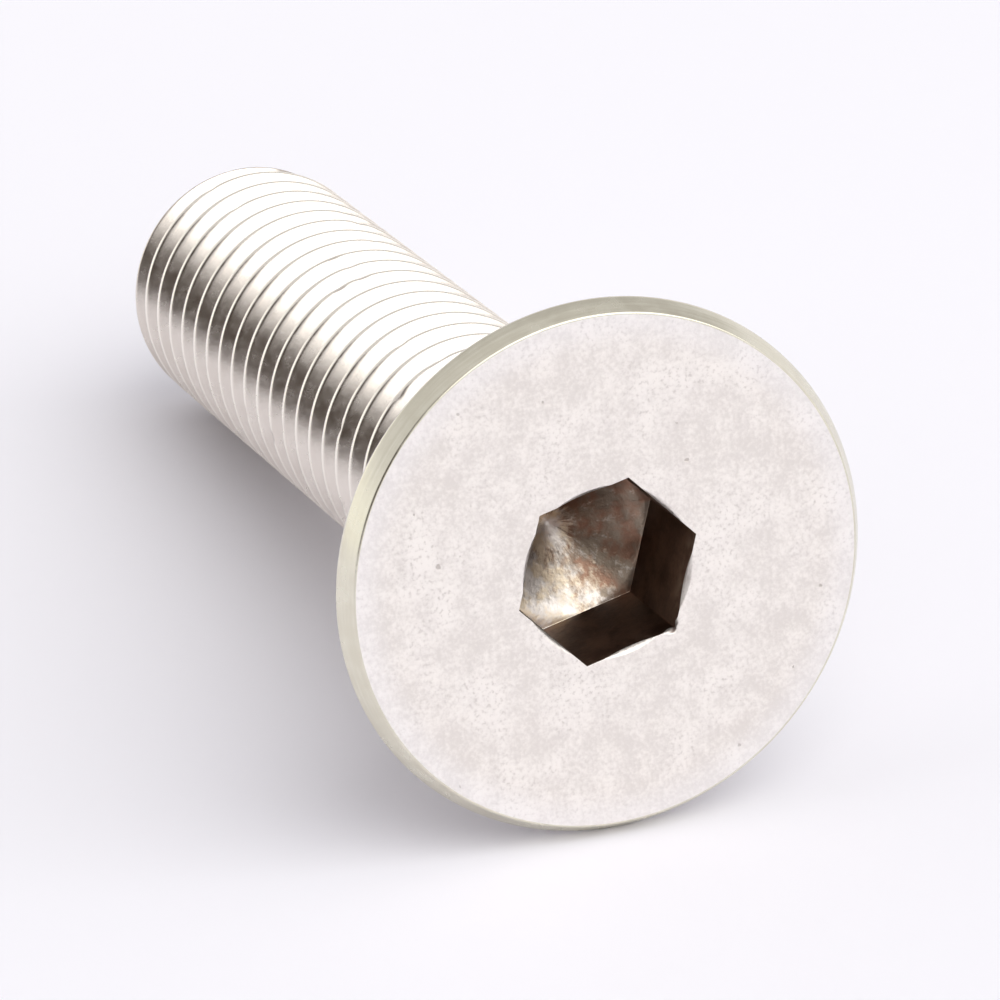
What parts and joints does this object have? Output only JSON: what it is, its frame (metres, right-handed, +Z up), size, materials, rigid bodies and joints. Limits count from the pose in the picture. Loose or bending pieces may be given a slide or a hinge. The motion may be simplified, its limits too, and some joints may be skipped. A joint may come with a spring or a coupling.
{
  "type": "countersunk socket screw",
  "caption": "Countersunk head screw with a hexagon socket and a fully threaded metric shank, lying on its side.",
  "frame": {"origin": "centre of the screw's footprint, on the plane it lies on", "axes": "+Y towards the tip, along the ground, +Z up; the screw's own axis leans down towards the tip by 7.5 degrees, because the head is wider than the shank"},
  "size_m": [0.0198, 0.0414, 0.0197],
  "materials": {
    "stainless": "plain satin stainless steel, blasted head face, rolled thread"
  },
  "bodies": {
    "root": {"screw": "stainless"}
  },
  "joints": []
}
